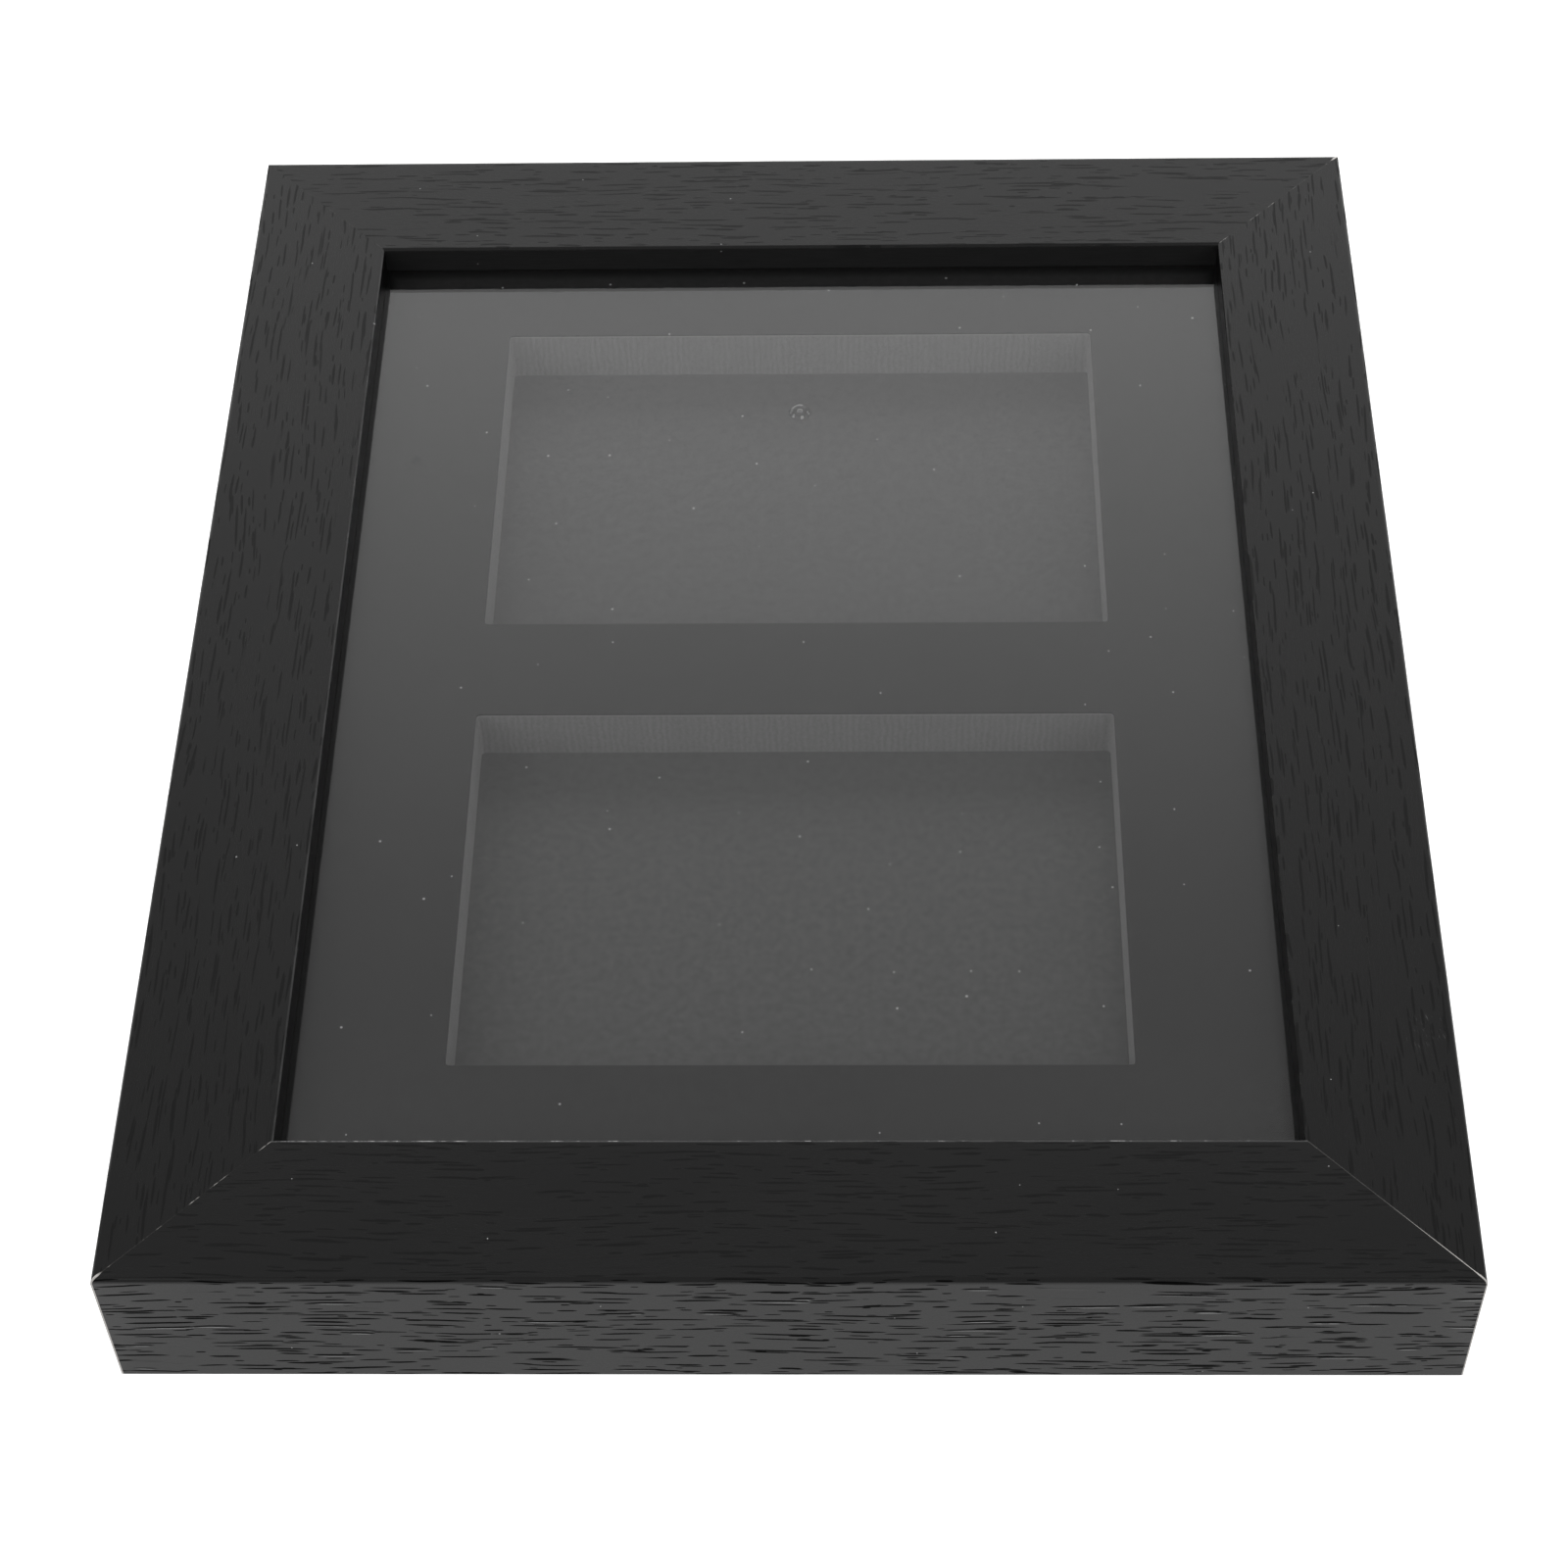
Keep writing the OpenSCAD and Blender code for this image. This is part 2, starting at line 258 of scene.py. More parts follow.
class Graph:
    """A material's nodes, written as calls. A socket or a plain value can go in anywhere."""

    def __init__(self, name):
        self.material = bpy.data.materials.new(name)
        self.material.use_nodes = True
        self.tree = self.material.node_tree
        self.tree.nodes.clear()

    def node(self, kind, **settings):
        made = self.tree.nodes.new("ShaderNode" + kind)
        for key, value in settings.items():
            setattr(made, key, value)
        return made

    def feed(self, socket, value):
        if isinstance(value, bpy.types.NodeSocket):
            self.tree.links.new(value, socket)
        elif value is not None:
            socket.default_value = value

    def math(self, operation, *values):
        made = self.node("Math", operation=operation)
        for socket, value in zip(made.inputs, values):
            self.feed(socket, value)
        return made.outputs[0]

    def add(self, a, b):
        return self.math("ADD", a, b)

    def less(self, a, b):
        return self.math("SUBTRACT", a, b)

    def times(self, a, b):
        return self.math("MULTIPLY", a, b)

    def over(self, a, b):
        return self.math("DIVIDE", a, b)

    def size(self, a):
        """a without its sign."""
        return self.math("ABSOLUTE", a)

    def either(self, a, b):
        return self.math("MAXIMUM", a, b)

    def both(self, a, b):
        return self.math("MINIMUM", a, b)

    def length(self, x, y):
        """How long a vector with these two parts is."""
        return self.math("SQRT", self.add(self.times(x, x), self.times(y, y)))

    def fade(self, value, start, end, low=0.0, high=1.0):
        """low before start, high after end, and a smooth step between them."""
        made = self.node("MapRange", interpolation_type="SMOOTHSTEP")
        for socket, given in zip(made.inputs, (value, start, end, low, high)):
            self.feed(socket, given)
        return made.outputs[0]

    def drop(self, value, start, end, high=1.0):
        """high before start, 0 after end, and a smooth step between them."""
        return self.fade(value, start, end, high, 0.0)

    def vector(self, x, y, z=0.0):
        made = self.node("CombineXYZ")
        for socket, value in zip(made.inputs, (x, y, z)):
            self.feed(socket, value)
        return made.outputs[0]

    def place(self):
        """Where the point is in the row's frame, in millimetres, as x, y and z."""
        where = self.node("TexCoord").outputs["Object"]
        scaled = self.node("VectorMath", operation="SCALE")
        self.feed(scaled.inputs[0], where)
        scaled.inputs["Scale"].default_value = 1 / MM
        split = self.node("SeparateXYZ")
        self.feed(split.inputs[0], scaled.outputs[0])
        return tuple(split.outputs)

    def facing(self):
        """The surface's own direction in the row's frame, as x, y and z."""
        split = self.node("SeparateXYZ")
        self.feed(split.inputs[0], self.node("TexCoord").outputs["Normal"])
        return tuple(split.outputs)

    def noise(self, where, detail=2.0, roughness=0.5):
        """Noise from 0 to 1 whose lumps are about one unit of where across."""
        made = self.node("TexNoise")
        self.feed(made.inputs["Vector"], where)
        made.inputs["Scale"].default_value = 1.0
        made.inputs["Detail"].default_value = detail
        made.inputs["Roughness"].default_value = roughness
        return made.outputs["Fac"]

    def lumps(self, point, size, detail=2.0, roughness=0.5):
        """Noise whose lumps are about size millimetres across."""
        where = self.vector(*[self.over(value, size) for value in point])
        return self.noise(where, detail, roughness)

    def patches(self, a, b, size_a, size_b, seed=0.0, detail=2.0, roughness=0.5):
        """Flat noise whose lumps are about size_a by size_b millimetres."""
        where = self.vector(self.over(a, size_a), self.over(b, size_b), seed)
        return self.noise(where, detail, roughness)

    def stretches(self, along, size, seed, detail=2.0, roughness=0.5):
        """Noise along one line, in stretches about size millimetres long."""
        where = self.vector(self.over(along, size), 0.0, seed)
        return self.noise(where, detail, roughness)

    def cells(self, where):
        """The nearest scattered point as x and y, and three random numbers that belong to it."""
        made = self.node("TexVoronoi", voronoi_dimensions="2D")
        self.feed(made.inputs["Vector"], where)
        made.inputs["Scale"].default_value = 1.0
        made.inputs["Randomness"].default_value = 1.0
        point = self.node("SeparateXYZ")
        self.feed(point.inputs[0], made.outputs["Position"])
        luck = self.node("SeparateColor")
        self.feed(luck.inputs[0], made.outputs["Color"])
        return point.outputs, luck.outputs

    def blend(self, share, low, high):
        """A colour that goes from low to high with share."""
        made = self.node("Mix", data_type="RGBA")
        self.feed(made.inputs["Factor"], share)
        for name, value in (("A", low), ("B", high)):
            socket = [s for s in made.inputs if s.name == name and s.type == "RGBA"][0]
            self.feed(socket, value)
        return [s for s in made.outputs if s.type == "RGBA"][0]

    def level(self, share, low, high):
        """A number that goes from low to high with share."""
        return self.add(low, self.times(share, self.less(high, low)))

    def bump(self, height, depth, normal=None):
        """A normal for a relief of that height, from 0 to 1, on a scale of depth millimetres."""
        made = self.node("Bump")
        made.inputs["Distance"].default_value = depth * MM
        self.feed(made.inputs["Height"], height)
        self.feed(made.inputs["Normal"], normal)
        return made.outputs[0]

    def finish(self, color, roughness, normal=None, gloss=None, **settings):
        """The material; gloss is only given where the specular level changes over the surface."""
        shader = self.node("BsdfPrincipled")
        self.feed(shader.inputs["Specular IOR Level"], gloss)
        self.feed(shader.inputs["Base Color"], color)
        self.feed(shader.inputs["Roughness"], roughness)
        self.feed(shader.inputs["Normal"], normal)
        for name, value in settings.items():
            shader.inputs[name.replace("_", " ")].default_value = value
        out = self.node("OutputMaterial")
        self.tree.links.new(shader.outputs[0], out.inputs["Surface"])
        return self.material


def grey(value, warmth=0.0):
    """A colour of that brightness, a little brown when warmth is above 0."""
    return (value * (1 + warmth), value, value * (1 - warmth), 1.0)


FOIL_DARK = grey(0.0030)
FOIL_PALE = grey(0.0062)
CORE = grey(0.55, 0.04)
# pale grey for the right rail's scuff, the bottom lip's pale line and the painted highlight on the left
# lip
WORN_AND_HIGHLIT = grey(0.5)
DUST = grey(0.5)


# ---------------------------------------------------------------- materials


def streaks(g, along, across, length, pitch, longest, half_width, kept, seed):
    """Short pores along the grain, each a V in section: how deep it is, from 0 to 1, and a painted
    highlight along its lip.

    One pore may stand in each cell of length by pitch millimetres, and kept is the share that do.
    """
    where = g.vector(g.add(g.over(along, length), seed), g.over(across, pitch))
    point, luck = g.cells(where)
    ahead = g.size(g.times(g.less(g.over(along, length), g.less(point[0], seed)), length))
    aside = g.times(g.less(g.over(across, pitch), point[1]), pitch)
    reach = g.level(luck[0], 0.3 * longest, longest)
    taper = g.math("POWER", g.over(ahead, reach), 4.0)
    wide = g.level(luck[1], 0.65 * half_width, half_width)
    chosen = g.math("LESS_THAN", luck[2], kept)
    depth = g.either(g.less(1.0, g.add(g.over(g.size(aside), wide), taper)), 0.0)
    # painted highlight: a few pores get a pale line along the lip beside them, on the outer side of the
    # groove
    beside = g.size(g.add(g.over(aside, wide), 1.35))
    highlit = g.math("GREATER_THAN", luck[1], 0.88)
    lip_glint = g.either(g.less(1.0, g.add(g.times(beside, 2.2), g.times(taper, 3.0))), 0.0)
    return g.times(depth, chosen), g.times(g.times(lip_glint, chosen), highlit)


def specks(g, x, y, spread, radius, kept, seed):
    """Sparse round specks, such as dust: 1 inside one and 0 outside.

    One may stand in each square of spread millimetres, and kept is the share that do.
    """
    where = g.vector(g.add(g.over(x, spread), seed), g.over(y, spread))
    point, luck = g.cells(where)
    off_x = g.less(g.add(g.over(x, spread), seed), point[0])
    off_y = g.less(g.over(y, spread), point[1])
    reach = g.times(g.length(off_x, off_y), spread)
    chosen = g.math("LESS_THAN", luck[0], kept)
    wide = g.level(luck[1], 0.5 * radius, radius)
    return g.times(g.drop(reach, g.times(wide, 0.6), wide), chosen)


def oak_pores(g, along, across, seed):
    """The foil's pressed grain: rows of long dashes, short ones between them, and calm patches."""
    drift = g.times(g.less(g.patches(along, across, 70, 18, seed), 0.5), 6.0)
    flow = g.add(across, drift)
    shake = g.times(g.less(g.patches(along, flow, 7.0, 3.0, seed), 0.5), 0.45)
    line = g.add(flow, shake)
    busy = g.fade(g.patches(along, flow, 34, 8, seed + 4.0, detail=1.0), 0.34, 0.44, 0.1, 1.0)
    long_rows, long_lip_glints = streaks(
        g, along, line, length=19.0, pitch=2.1, longest=8.0, half_width=0.36, kept=0.95, seed=seed
    )
    more_rows, more_lip_glints = streaks(
        g, along, line, length=14.0, pitch=2.7, longest=5.5, half_width=0.34, kept=0.8, seed=seed + 17.0
    )
    short_rows = streaks(
        g, along, line, length=7.0, pitch=1.9, longest=2.4, half_width=0.24, kept=0.6, seed=seed + 31.0
    )[0]
    depth = g.either(g.either(long_rows, more_rows), g.times(short_rows, 0.8))
    lip_glints = g.either(long_lip_glints, more_lip_glints)
    return g.times(depth, busy), g.times(lip_glints, busy), flow


class RailPlace:
    """Where a point lies on a rail, as sockets of the rail's graph, in millimetres."""

    def __init__(self, g, runs_across):
        self.runs_across = runs_across
        self.x, self.y, self.z = g.place()
        self.along = self.x if runs_across else self.y
        from_side = g.less(WIDTH / 2, g.size(self.x))
        from_end = g.less(HEIGHT / 2, g.size(self.y))
        # how far in from the outer side, and how far behind the face
        self.inward = from_end if runs_across else from_side
        self.depth = g.less(DEPTH, self.z)
        # across runs without a break over the outer side, the face and the lip's edge
        self.across = g.less(self.inward, self.depth)
        self.off_mitre = g.times(g.size(g.less(from_side, from_end)), math.sqrt(0.5))
        # 1 on the outer side, and 1 on the wall of the lip
        self.outer = g.drop(self.inward, 0.2, 1.0)
        self.lip_wall = g.math("GREATER_THAN", self.inward, RAIL_WIDTH - 0.05)


def foil(g, rail, seed):
    """Satin black foil with pressed pores: its colour, roughness, relief and gloss."""
    pores, lip_glints, flow = oak_pores(g, rail.along, rail.across, seed)
    pressed = g.fade(pores, 0.0, g.level(rail.outer, 0.5, 0.3))
    pressed = g.times(pressed, g.less(1.0, rail.lip_wall))
    fine = g.patches(rail.along, flow, 9.0, 0.25, seed, detail=3.0, roughness=0.6)
    cloud = g.patches(rail.along, flow, 60, 20, seed + 9.0)
    skin = g.blend(g.level(fine, 0.2, 0.8), FOIL_DARK, FOIL_PALE)
    skin = g.blend(g.times(pressed, rail.outer), skin, grey(0.001))
    # painted light: on the top and bottom rails the lip's wall is made paler than the same foil
    # elsewhere, for the light that falls on it there
    if rail.runs_across:
        skin = g.blend(rail.lip_wall, skin, g.blend(fine, grey(0.008), grey(0.028)))
    # painted highlights: pale lines along some pores' lips, on the outer sides only
    glint_sides = g.times(rail.outer, g.fade(rail.depth, 1.0, 3.0))
    skin = g.blend(g.times(g.times(lip_glints, glint_sides), 0.8), skin, grey(0.42))
    satin = g.add(g.level(fine, 0.20, 0.26), g.times(cloud, 0.08))
    dull = g.either(pressed, g.times(rail.lip_wall, 0.5))
    satin = g.level(dull, satin, g.level(rail.outer, 0.35, 0.6))
    relief = g.less(g.times(fine, 0.02), g.times(pores, g.level(rail.outer, 0.1, 1.0)))
    # the pores are dull, most of all on the outer sides, and so is the lip's wall
    gloss = g.level(pressed, g.level(rail.lip_wall, 0.5, 0.07), g.level(rail.outer, 0.26, 0.03))
    return skin, satin, relief, gloss


def mitre_line(g, name, rail):
    """The pale core that shows where two rails meet; each corner of the box is closed its own way."""
    low, high = RAIL_CORNERS[name]
    at_high_end = g.math("GREATER_THAN", rail.along, 0.0)
    steady = g.level(at_high_end, CORNER_STEADY[low], CORNER_STEADY[high])
    broken = g.level(at_high_end, CORNER_BROKEN[low], CORNER_BROKEN[high])
    tip = g.level(at_high_end, CORNER_TIP[low], CORNER_TIP[high])
    gaps = g.fade(g.stretches(rail.inward, 8.0, seed=3.0, detail=4.0, roughness=0.75), 0.50, 0.61)
    outward = g.fade(rail.inward, 20.0, 4.0)
    line = g.either(g.times(gaps, broken), g.times(steady, g.level(outward, 0.22, 1.0)))
    chipped = g.times(g.drop(rail.inward, 1.0, 2.4), tip)
    line = g.either(line, chipped)
    half_width = g.add(g.level(line, 0.02, 0.075), g.times(chipped, 0.16))
    on_line = g.drop(rail.off_mitre, g.times(half_width, 0.7), g.times(half_width, 1.3))
    return g.times(on_line, line)


def bottom_lip_pale_line(g, rail):
    """The bottom lip's edge, painted pale in short stretches, most to the left."""
    off_edge = g.size(g.less(rail.inward, RAIL_WIDTH - 0.3))
    pale_stretches = g.stretches(rail.x, 5.0, seed=8.0, detail=4.0, roughness=0.75)
    gaps = g.fade(pale_stretches, g.fade(rail.x, -70.0, -20.0, 0.45, 0.54), 0.6)
    to_left = g.fade(rail.x, -70.0, -20.0, 0.9, 0.7)
    edge = g.times(g.drop(off_edge, 0.08, 0.16), g.times(gaps, to_left))
    return g.times(edge, g.drop(rail.depth, 1.0, 1.2))


def left_lip_highlight(g, rail):
    """The left lip's edge: a painted highlight along a faint thin line."""
    off_edge = g.less(RAIL_WIDTH, rail.inward)
    highlit = g.stretches(rail.y, 11.0, seed=6.0, detail=3.0, roughness=0.7)
    edge = g.times(g.drop(off_edge, 0.25, 0.45), g.drop(rail.depth, 0.3, 0.5))
    return g.times(edge, g.fade(highlit, 0.3, 0.6, 0.03, 0.09))


def scuffed(g, rail):
    """A small patch of slanting scratches on the right rail."""
    off_x = g.over(g.less(rail.x, SCUFF[0]), SCUFF_SIZE)
    off_y = g.over(g.less(rail.y, SCUFF[1]), SCUFF_SIZE)
    near = g.drop(g.add(g.times(off_x, off_x), g.times(off_y, off_y)), 0.4, 1.2)
    slant = g.add(rail.x, g.times(rail.y, 0.3))
    scratches = g.patches(slant, rail.y, 0.25, 4.0, seed=2.0, detail=3.0, roughness=0.7)
    return g.times(g.times(near, g.fade(scratches, 0.60, 0.72)), 0.22)


# the left rail gets a painted highlight along its lip, the right rail a scuff, the bottom rail a pale
# broken line along its lip
WEAR_AND_HIGHLIGHTS = {"rail_bottom": bottom_lip_pale_line, "rail_left": left_lip_highlight, "rail_right": scuffed}


def past_foil(g, rail, seed):
    """1 on the bare board: the rebate's walls, and the back past the foil's ragged edge."""
    ragged = g.times(g.less(g.noise(g.vector(g.over(rail.along, 3.0), seed)), 0.5), 0.8)
    past_edge = g.fade(g.add(rail.inward, ragged), FOIL_TURNED_IN - 0.1, FOIL_TURNED_IN + 0.1)
    behind = g.math("LESS_THAN", rail.z, GLAZING_FRONT + 0.05)
    off_lip = g.math("LESS_THAN", rail.inward, RAIL_WIDTH - 0.1)
    return g.times(g.times(past_edge, behind), off_lip)


def bare_board(g, rail):
    """Sawn fibreboard: fine fibres, clouds, dark flecks, faint saw marks and the mitre's joint."""
    point = (rail.x, rail.y, rail.z)
    fibre = g.lumps(point, 0.4, detail=5.0, roughness=0.75)
    cloud = g.lumps(point, 9.0, detail=4.0, roughness=0.6)
    wobble = g.patches(rail.x, rail.y, 12.0, 12.0, seed=4.0)
    turn = g.add(g.times(rail.along, 2 * math.pi / SAW_PITCH), g.times(wobble, 7.0))
    saw = g.level(g.math("SINE", turn), 0.5, 0.75)
    tone = g.blend(g.level(fibre, -0.5, 1.5), grey(0.17, 0.30), grey(0.36, 0.26))
    tone = g.blend(g.fade(cloud, 0.35, 0.7, 0.0, 0.45), tone, grey(0.17, 0.30))
    tone = g.blend(g.times(saw, 0.16), tone, grey(0.12, 0.30))
    on_back = g.math("LESS_THAN", rail.z, 0.1)
    flecks = g.times(specks(g, rail.x, rail.y, spread=2.1, radius=0.45, kept=0.5, seed=6.0), on_back)
    tone = g.blend(g.times(flecks, 0.5), tone, grey(0.07, 0.3))
    # the glued mitre shows as a dark hairline with glue beside it
    joint = g.drop(rail.off_mitre, 0.05, 0.16, 0.85)
    glue = g.drop(g.add(rail.off_mitre, g.times(fibre, 1.6)), 1.0, 1.6, 0.35)
    tone = g.blend(g.either(joint, glue), tone, grey(0.05, 0.3))
    return tone, g.less(g.add(fibre, g.times(saw, 0.5)), g.times(joint, 3.0))


def moulding(name, runs_across, seed):
    """One rail: foil over fibreboard, with the grain along it, its mitres, its wear, painted highlights
    and some dust.
    """
    g = Graph("foil_" + name)
    rail = RailPlace(g, runs_across)
    skin, satin, relief, gloss = foil(g, rail, seed)
    skin = g.blend(mitre_line(g, name, rail), skin, CORE)
    if name in WEAR_AND_HIGHLIGHTS:
        skin = g.blend(WEAR_AND_HIGHLIGHTS[name](g, rail), skin, WORN_AND_HIGHLIT)
    dust = specks(g, rail.along, rail.across, spread=19.0, radius=0.22, kept=0.3, seed=seed)
    skin = g.blend(g.times(dust, 0.8), skin, DUST)
    bare = past_foil(g, rail, seed)
    board, fibre = bare_board(g, rail)
    color = g.blend(bare, skin, board)
    rough = g.level(bare, g.either(satin, g.times(dust, 0.9)), 0.85)
    normal = g.bump(g.times(relief, g.less(1.0, bare)), 0.05)
    normal = g.bump(g.times(fibre, bare), 0.08, normal)
    return g.finish(color, rough, normal, gloss, IOR=1.5)


def mat_paper(name, brightness, spot_and_lip_shade=None):
    """Matt black paper: a faint fibre and small dust; with a spot, a dark spot and painted shade along
    the border under the lip.
    """
    g = Graph(name)
    point = g.place()
    x, y = point[:2]
    felt = g.lumps(point, 1.8, detail=3.0, roughness=0.6)
    cloud = g.patches(x, y, 40, 40)
    dust = specks(g, x, y, spread=15.0, radius=0.34, kept=0.45, seed=2.0)
    tone = g.blend(felt, grey(brightness * 0.6), grey(brightness * 1.4))
    tone = g.blend(g.times(cloud, 0.35), tone, grey(brightness * 1.15))
    tone = g.blend(g.times(dust, 0.7), tone, DUST)
    if spot_and_lip_shade:
        # painted shade: the border that lies close under the lip is darkened, as if in the lip's shadow
        to_side = g.less(WIDTH / 2 - RAIL_WIDTH, g.size(x))
        to_end = g.less(HEIGHT / 2 - RAIL_WIDTH, g.size(y))
        tone = g.blend(g.drop(g.both(to_side, to_end), 0.6, 3.2, 0.85), tone, grey(0.003))
        off = g.length(g.less(x, spot_and_lip_shade[0]), g.less(y, spot_and_lip_shade[1]))
        tone = g.blend(g.drop(off, 0.4, 1.8, 0.8), tone, grey(0.004))
    return g.finish(tone, 0.9, g.bump(felt, 0.01), IOR=1.45, Specular_IOR_Level=0.2)


def cut_foam(name, brightness):
    """The knife-cut edge of dense foam: fine upright ribs and open pores, paler next to the face."""
    g = Graph(name)
    x, y, z = g.place()
    facing_y = g.facing()[1]
    on_long_wall = g.fade(g.size(facing_y), 0.45, 0.55)
    run = g.level(on_long_wall, y, x)
    wander = g.patches(run, z, 3.0, 4.0, seed=1.0)
    wave = g.math("SINE", g.add(g.times(run, 2 * math.pi / RIB_PITCH), g.times(wander, 8.0)))
    strength = g.fade(g.stretches(run, 9.0, seed=5.0, detail=1.0), 0.3, 0.6, 0.25, 1.0)
    ribs = g.times(g.level(wave, 0.5, 1.0), strength)
    pores = g.noise(g.vector(g.over(x, 0.6), g.over(y, 0.6), g.over(z, 0.8)), detail=3.0, roughness=0.7)
    tone = g.add(g.times(ribs, 0.2), g.times(pores, 0.8))
    color = g.blend(tone, grey(brightness * 0.66), grey(brightness * 1.34))
    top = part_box("mat_core")[1].z / MM
    rim = g.fade(z, top - 0.5, top - 0.2)
    color = g.blend(g.times(rim, 0.5), color, grey(brightness * 1.7))
    normal = g.bump(g.add(g.times(ribs, 0.8), pores), 0.05)
    return g.finish(color, 0.92, normal, IOR=1.4, Specular_IOR_Level=0.2)


def fibreboard(name):
    """The back panel: hardboard with its pressed screen pattern, flecks, clouds and pale chips."""
    g = Graph(name)
    point = g.place()
    x, y = point[:2]
    fine = g.lumps(point, 0.5, detail=5.0, roughness=0.75)
    broad = g.patches(x, y, 16, 16, detail=4.0, roughness=0.65)
    mesh_x = g.math("SINE", g.times(x, 2 * math.pi / SCREEN_PITCH))
    mesh_y = g.math("SINE", g.times(y, 2 * math.pi / SCREEN_PITCH))
    screen = g.level(g.times(mesh_x, mesh_y), 0.5, 1.0)
    flecks = streaks(
        g, x, y, length=3.4, pitch=1.3, longest=1.5, half_width=0.22, kept=0.45, seed=7.0
    )[0]
    chips = streaks(
        g, y, x, length=4.1, pitch=1.7, longest=1.6, half_width=0.25, kept=0.35, seed=12.0
    )[0]
    tone = g.blend(g.level(fine, -0.4, 1.4), (0.15, 0.085, 0.045, 1), (0.36, 0.225, 0.125, 1))
    tone = g.blend(g.fade(broad, 0.36, 0.66, 0.0, 0.55), tone, (0.17, 0.095, 0.05, 1))
    tone = g.blend(g.times(screen, 0.28), tone, (0.11, 0.062, 0.034, 1))
    tone = g.blend(g.times(flecks, 0.8), tone, (0.07, 0.04, 0.022, 1))
    tone = g.blend(g.times(chips, 0.5), tone, (0.42, 0.29, 0.18, 1))
    relief = g.less(g.times(fine, 0.6), screen)
    return g.finish(tone, g.level(fine, 0.6, 0.85), g.bump(relief, 0.08), IOR=1.45)


def plated_steel(name, brightness, roughness, seed):
    """Sheet or wire steel: drawn lines, smudges and a little dulling."""
    g = Graph(name)
    x, y, z = g.place()
    drawn = g.vector(g.over(x, 0.12), g.over(y, 1.6), g.add(g.over(z, 0.3), seed))
    drawn = g.noise(drawn, detail=3.0, roughness=0.6)
    smudge = g.vector(g.over(x, 3.0), g.over(y, 3.0), g.add(g.over(z, 3.0), seed))
    smudge = g.noise(smudge, detail=3.0)
    tone = g.level(smudge, -0.2, 1.2)
    tone = g.blend(tone, grey(brightness * 0.7, 0.02), grey(brightness * 1.1))
    dull = g.add(g.level(drawn, roughness * 0.8, roughness * 1.3), g.times(smudge, 0.12))
    return g.finish(tone, dull, g.bump(drawn, 0.01), Metallic=1.0)


def clear_sheet(name):
    """Clear glossy sheet with the faintest smears."""
    g = Graph(name)
    x, y = g.place()[:2]
    smear = g.patches(x, y, 30, 30, detail=3.0)
    rough = g.fade(smear, 0.55, 0.8, 0.0, 0.03)
    return g.finish((1, 1, 1, 1), rough, IOR=1.59, Transmission_Weight=1.0)


def rivet_plate(middle_x, middle_y):
    """Blackened steel, with painted highlights: bright along part of the rolled rim and round the bore.
    """
    g = Graph("rivet_plate")
    point = g.place()
    x, y, z = point
    off_x = g.less(x, middle_x)
    off_y = g.less(y, middle_y)
    radius = g.length(off_x, off_y)
    turn = g.math("ARCTAN2", off_y, off_x)
    smudge = g.lumps(point, 0.6, detail=3.0, roughness=0.6)
    # painted highlights: one long arc, and dots on the side that faces the bottom rail
    long_arc = g.fade(g.math("COSINE", g.less(turn, HIGHLIT_ARC)), 0.35, 0.6)
    dots = g.fade(g.math("COSINE", g.add(g.times(turn, 6.0), 1.6)), 0.5, 0.75)
    dots = g.times(dots, g.drop(g.math("SINE", turn), 0.1, 0.3))
    on_rim = g.times(g.fade(radius, 1.62, 1.74), g.drop(radius, 2.2, 2.3))
    rim = g.times(on_rim, g.either(long_arc, dots))
    bore = g.times(g.fade(radius, 0.42, 0.5), g.drop(radius, 0.6, 0.7))
    # behind the lining the steel is bright all over
    behind = g.math("LESS_THAN", z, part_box("back_lining")[0].z / MM)
    bright = g.either(g.either(rim, bore), behind)
    tone = g.blend(g.times(bright, g.level(smudge, 0.7, 1.1)), grey(0.11), grey(0.8))
    rough = g.level(bright, 0.5, g.level(smudge, 0.2, 0.4))
    return g.finish(tone, rough, g.bump(smudge, 0.03), Metallic=1.0)


def paint(node, material):
    """Gives a CAD node one material."""
    mesh = frame["nodes"][node].data
    mesh.materials.clear()
    mesh.materials.append(material)


def paint_frame():
    """Gives every CAD node its material; each rail has a grain of its own."""
    for seed, name in enumerate(RAILS):
        runs_across = name in ("rail_bottom", "rail_top")
        paint(name, moulding(name, runs_across, 11.0 * seed + 5.0))
    paint("glazing", clear_sheet("clear_sheet"))
    frame["nodes"]["glazing"].visible_shadow = False
    paint("mat_face_sheet", mat_paper("mat_paper", brightness=0.024, spot_and_lip_shade=DARK_SPOT))
    paint("mat_core", cut_foam("mat_foam", brightness=0.21))
    paint("back_lining", mat_paper("lining_paper", brightness=0.072))
    paint("back_panel", fibreboard("hardboard"))
    tab_steel = plated_steel("spring_steel", brightness=0.55, roughness=0.3, seed=1.0)
    nail_steel = plated_steel("nail_steel", brightness=0.35, roughness=0.4, seed=2.0)
    nickel = plated_steel("nickel_plate", brightness=0.8, roughness=0.26, seed=3.0)
    for name in frame["nodes"]:
        if name.startswith("tab_"):
            paint(name, tab_steel)
        elif name.startswith("v_nails"):
            paint(name, nail_steel)
        elif name.startswith("hanger_"):
            paint(name, nickel)


# ---------------------------------------------------------------- small pieces


def make_piece(name, made, material):
    """An object of the mesh that was built, with one material."""
    bmesh.ops.recalc_face_normals(made, faces=made.faces)
    mesh = bpy.data.meshes.new(name)
    made.to_mesh(mesh)
    made.free()
    mesh.materials.append(material)
    piece = bpy.data.objects.new(name, mesh)
    bpy.context.scene.collection.objects.link(piece)
    return piece


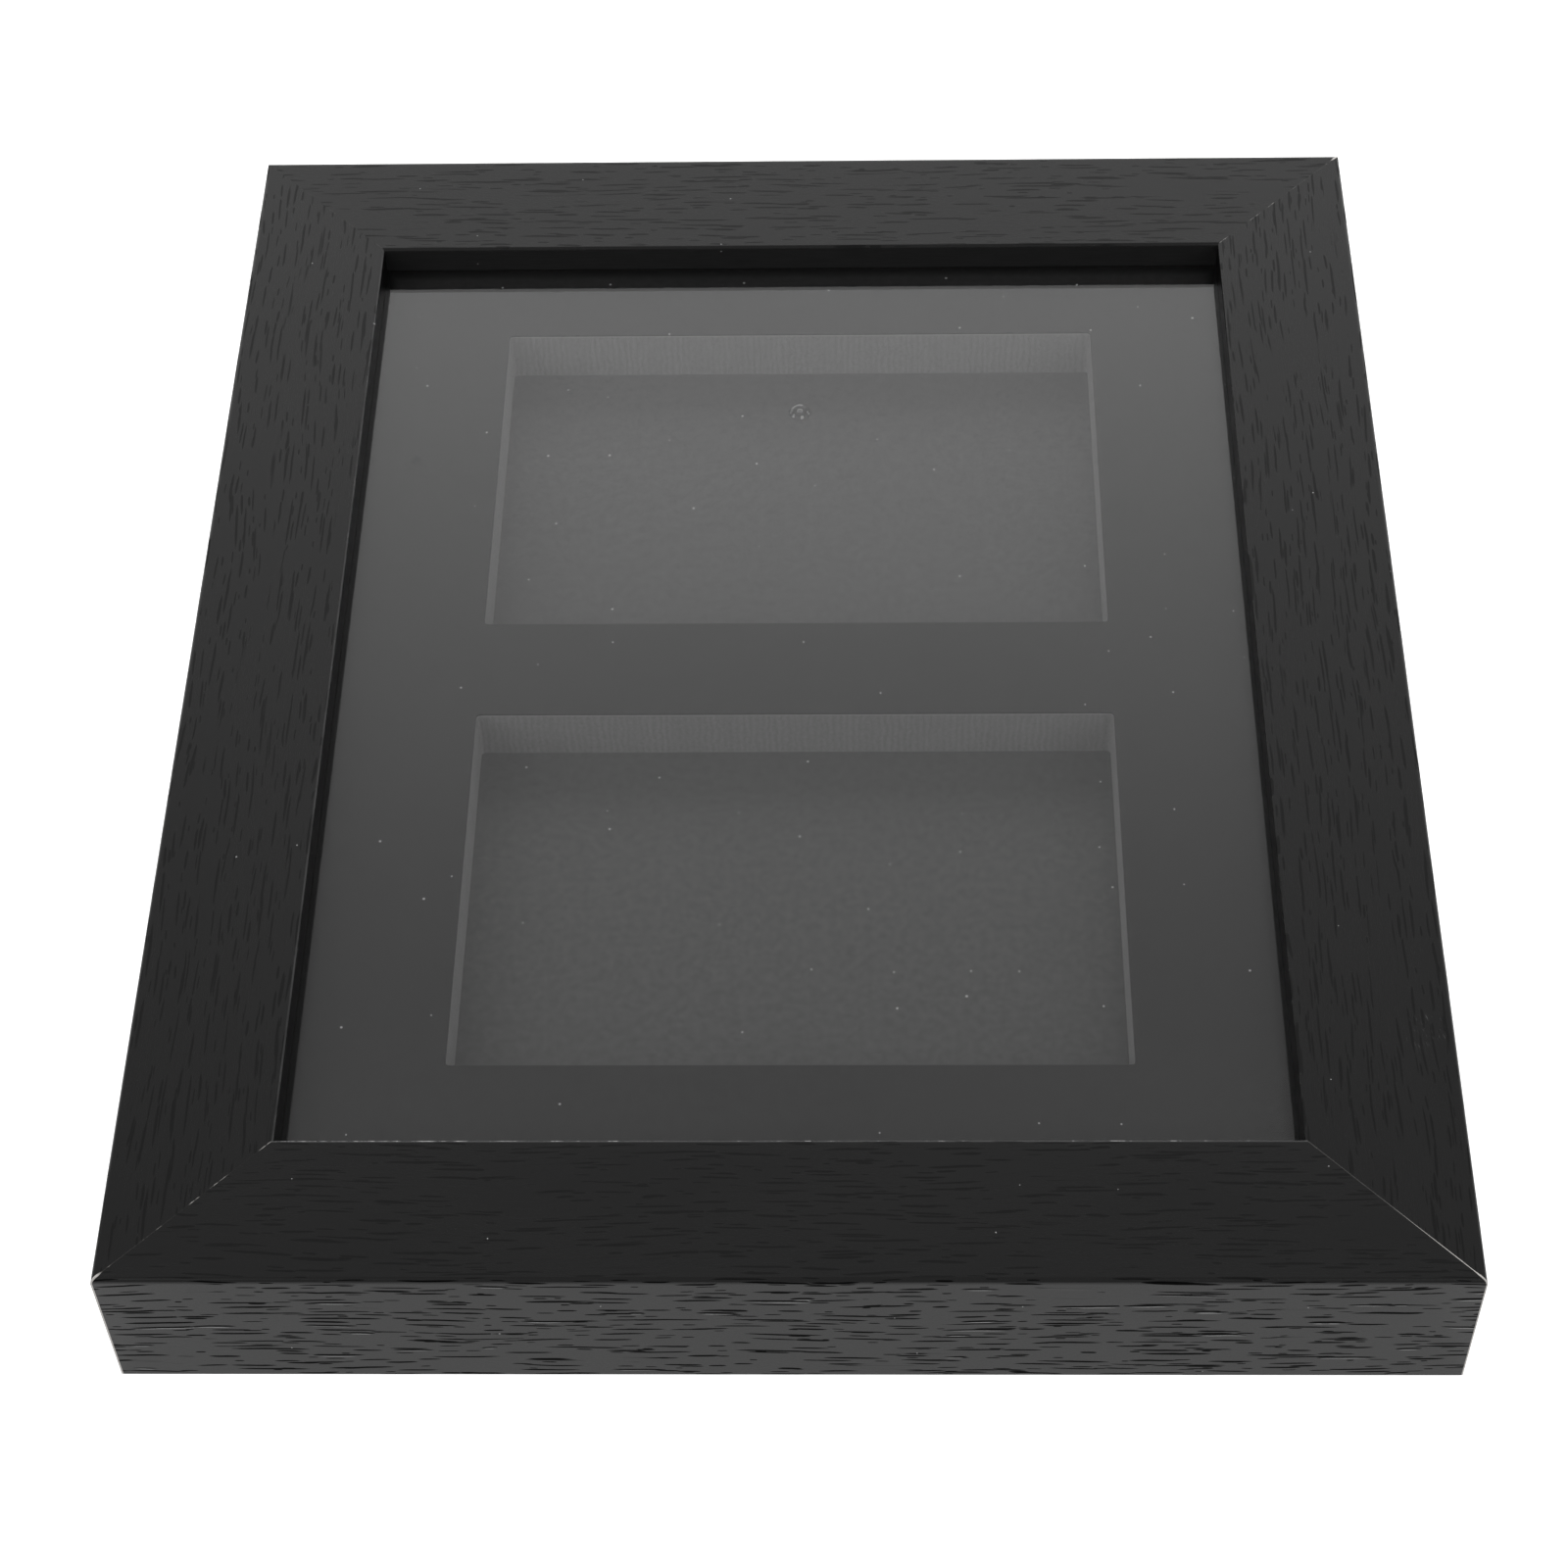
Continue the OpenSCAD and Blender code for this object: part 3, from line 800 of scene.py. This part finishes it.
def bend_sleeve(tab):
    """The part of a tab between the rebate's wall and its blade."""
    joint = [j for j in frame["joints"] if j["child"] == tab][0]
    hinge = Vector(joint["pos_m"])
    low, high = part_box(tab)
    out = (low + high) / 2 - hinge
    out.z = 0
    out.normalize()
    side = Vector((-out.y, out.x, 0))
    half_width = abs((high - low).dot(side)) / 2 + SLEEVE_PROUD * MM
    half_thickness = (high.z - low.z) / 2 + SLEEVE_PROUD * MM
    wall = hinge - out * WALL_OFFSET * MM
    made = bmesh.new()
    rings = []
    for i in range(SLEEVE_RINGS):
        middle = wall + out * (SLEEVE_START + SLEEVE_LENGTH * i / (SLEEVE_RINGS - 1)) * MM
        ring = []
        for s, t in ((-1, -1), (1, -1), (1, 1), (-1, 1)):
            corner = middle + side * s * half_width + Vector((0, 0, t * half_thickness))
            ring.append(made.verts.new(corner))
        rings.append(ring)
    for a, b in zip(rings, rings[1:]):
        for k in range(4):
            made.faces.new((a[k], a[(k + 1) % 4], b[(k + 1) % 4], b[k]))
    made.faces.new(rings[0][::-1])
    made.faces.new(rings[-1])
    piece = make_piece("bend_of_" + tab, made, frame["nodes"][tab].data.materials[0])
    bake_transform(piece)


def revolve(made, profile, steps):
    """A closed solid turned round the Z axis from (radius, height) points in mm, axis to axis."""
    foot = made.verts.new((0, 0, profile[0][1] * MM))
    crown = made.verts.new((0, 0, profile[-1][1] * MM))
    rings = []
    for i in range(steps):
        turn = 2 * math.pi * i / steps
        ring = []
        for radius, height in profile[1:-1]:
            at = (radius * math.cos(turn) * MM, radius * math.sin(turn) * MM, height * MM)
            ring.append(made.verts.new(at))
        rings.append(ring)
    for a, b in zip(rings, rings[1:] + rings[:1]):
        made.faces.new((foot, b[0], a[0]))
        made.faces.new((crown, a[-1], b[-1]))
        for k in range(len(a) - 1):
            made.faces.new((a[k], b[k], b[k + 1], a[k + 1]))


def rivet_profile(head_radius, bottom, strap_front, floor_z, rim_z):
    """Half the rivet's section, from the head's middle to the bottom of the bore, in mm."""
    head = [(0, bottom), (0.45 * head_radius, bottom + 0.03), (0.75 * head_radius, bottom + 0.16)]
    head += [(0.93 * head_radius, bottom + 0.42), (head_radius, bottom + 0.75)]
    head += [(0.97 * head_radius, bottom + HEAD_HEIGHT)]
    tube = [(TUBE_RADIUS, bottom + HEAD_HEIGHT), (TUBE_RADIUS, floor_z)]
    flange = [(FLANGE_RADIUS, floor_z), (FLANGE_RADIUS - 0.05, floor_z + 0.08)]
    rim = [(RIM_RADIUS + 0.1, floor_z + 0.12), (RIM_RADIUS, rim_z - 0.12), (RIM_RADIUS - 0.1, rim_z)]
    rim += [(RIM_RADIUS - 0.25, rim_z), (RIM_RADIUS - 0.4, rim_z - 0.15)]
    dish = [(1.3, rim_z - 0.3), (0.9, rim_z - 0.3)]
    bore = [(0.75, rim_z - 0.12), (0.6, rim_z - 0.08), (BORE_RADIUS, rim_z - 0.15)]
    bore += [(BORE_RADIUS, strap_front), (0, strap_front)]
    return head + tube + flange + rim + dish + bore


def rolled_rivet():
    """The hanger's tubular rivet: domed head, tube, and its end rolled over into a rim."""
    low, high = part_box("hanger_rivet")
    middle = (low + high) / 2
    head_radius = (high.x - low.x) / 2 / MM
    strap_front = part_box("hanger_strap")[1].z / MM
    floor_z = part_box("back_lining")[1].z / MM
    made = bmesh.new()
    profile = rivet_profile(head_radius, low.z / MM, strap_front, floor_z, high.z / MM)
    revolve(made, profile, steps=64)
    for face in made.faces:
        face.smooth = True
    # the rim was rolled by hand, so it isn't quite round
    luck = random.Random(5)
    swells = [(k, luck.uniform(0.01, 0.03), luck.uniform(0, 6.0)) for k in (2, 3, 5, 7)]
    for point in made.verts:
        if point.co.z > (floor_z + 0.01) * MM:
            turn = math.atan2(point.co.y, point.co.x)
            stretch = 1 + sum(size * math.sin(k * turn + start) for k, size, start in swells)
            point.co.x *= stretch
            point.co.y *= stretch
        point.co.x += middle.x
        point.co.y += middle.y
    piece = make_piece("rivet", made, rivet_plate(middle.x / MM, middle.y / MM))
    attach(piece, "frame")
    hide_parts("hanger_rivet")


place_camera()
light_studio()
lay_floor()
paint_frame()
for tab in TABS:
    bend_sleeve(tab)
rolled_rivet()
